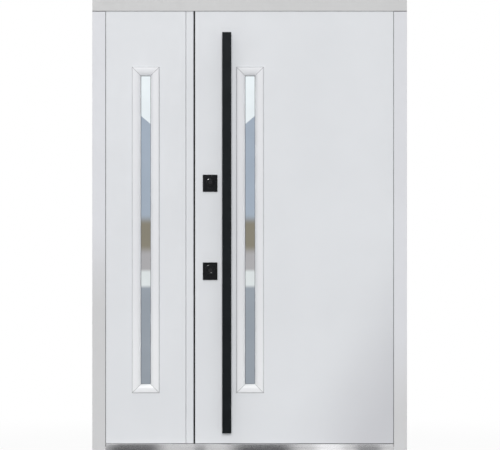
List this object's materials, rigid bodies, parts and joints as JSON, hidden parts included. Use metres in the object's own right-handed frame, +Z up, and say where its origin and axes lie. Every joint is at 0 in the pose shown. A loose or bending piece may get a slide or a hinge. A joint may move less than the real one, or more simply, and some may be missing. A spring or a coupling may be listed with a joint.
{
  "type": "security door",
  "caption": "Steel security entrance door with a wide and a narrow leaf, tall slit windows, a full-height pull bar, lock plates, a pressed steel frame and a stainless threshold.",
  "frame": {"origin": "floor level, in the middle of the threshold's underside", "axes": "+Z up, +X to the right seen from outside, +Y from outside to inside"},
  "size_m": [1.415, 0.1701, 2.04],
  "materials": {
    "frame_paint": "satin",
    "leaf_paint": "satin",
    "bead_paint": "satin",
    "stainless": "satin",
    "black_paint": "satin",
    "black_lock": "satin",
    "key_steel": "satin",
    "seal_rubber": "matte",
    "infill": "matte",
    "reflective_glass": "polished",
    "lock_steel": "satin",
    "hinge_steel": "satin"
  },
  "bodies": {
    "door_frame": {"left_jamb": "frame_paint", "right_jamb": "frame_paint", "head": "frame_paint", "threshold": "stainless", "frame_seal": "seal_rubber", "side_hinge_frame_halves": "hinge_steel", "main_hinge_frame_halves": "hinge_steel"},
    "main_leaf": {"main_outer_skin": "leaf_paint", "main_inner_skin": "leaf_paint", "main_core": "infill", "main_outer_bead": "bead_paint", "main_inner_bead": "bead_paint", "main_glass": "reflective_glass", "pull_bar": "black_paint", "pull_bar_posts": "black_paint", "upper_lock_plate": "black_lock", "lower_lock_plate": "black_lock", "key_plugs": "key_steel", "inside_lock_plate": "black_lock", "inside_upper_plate": "black_lock", "inside_lever": "black_lock", "turn_knobs": "black_lock", "lock_forend": "lock_steel", "lock_bolts": "lock_steel", "main_hinge_leaf_halves": "hinge_steel"},
    "side_leaf": {"side_outer_skin": "leaf_paint", "side_inner_skin": "leaf_paint", "side_core": "infill", "meeting_stile": "leaf_paint", "meeting_seal": "seal_rubber", "side_outer_bead": "bead_paint", "side_inner_bead": "bead_paint", "side_glass": "reflective_glass", "strike_plate": "lock_steel", "flush_bolts": "lock_steel", "side_hinge_leaf_halves": "hinge_steel"}
  },
  "joints": [
    {"name": "main_leaf_hinge", "type": "hinge", "parent": "door_frame", "child": "main_leaf", "pos_m": [0.661, 0.03875, 0], "axis": [0, 0, -1], "range_deg": [0, 110], "deforming": ["meeting_seal"]},
    {"name": "side_leaf_hinge", "type": "hinge", "parent": "door_frame", "child": "side_leaf", "pos_m": [-0.661, 0.03875, 0], "axis": [0, 0, 1], "range_deg": [0, 110], "deforming": ["meeting_seal"]}
  ]
}
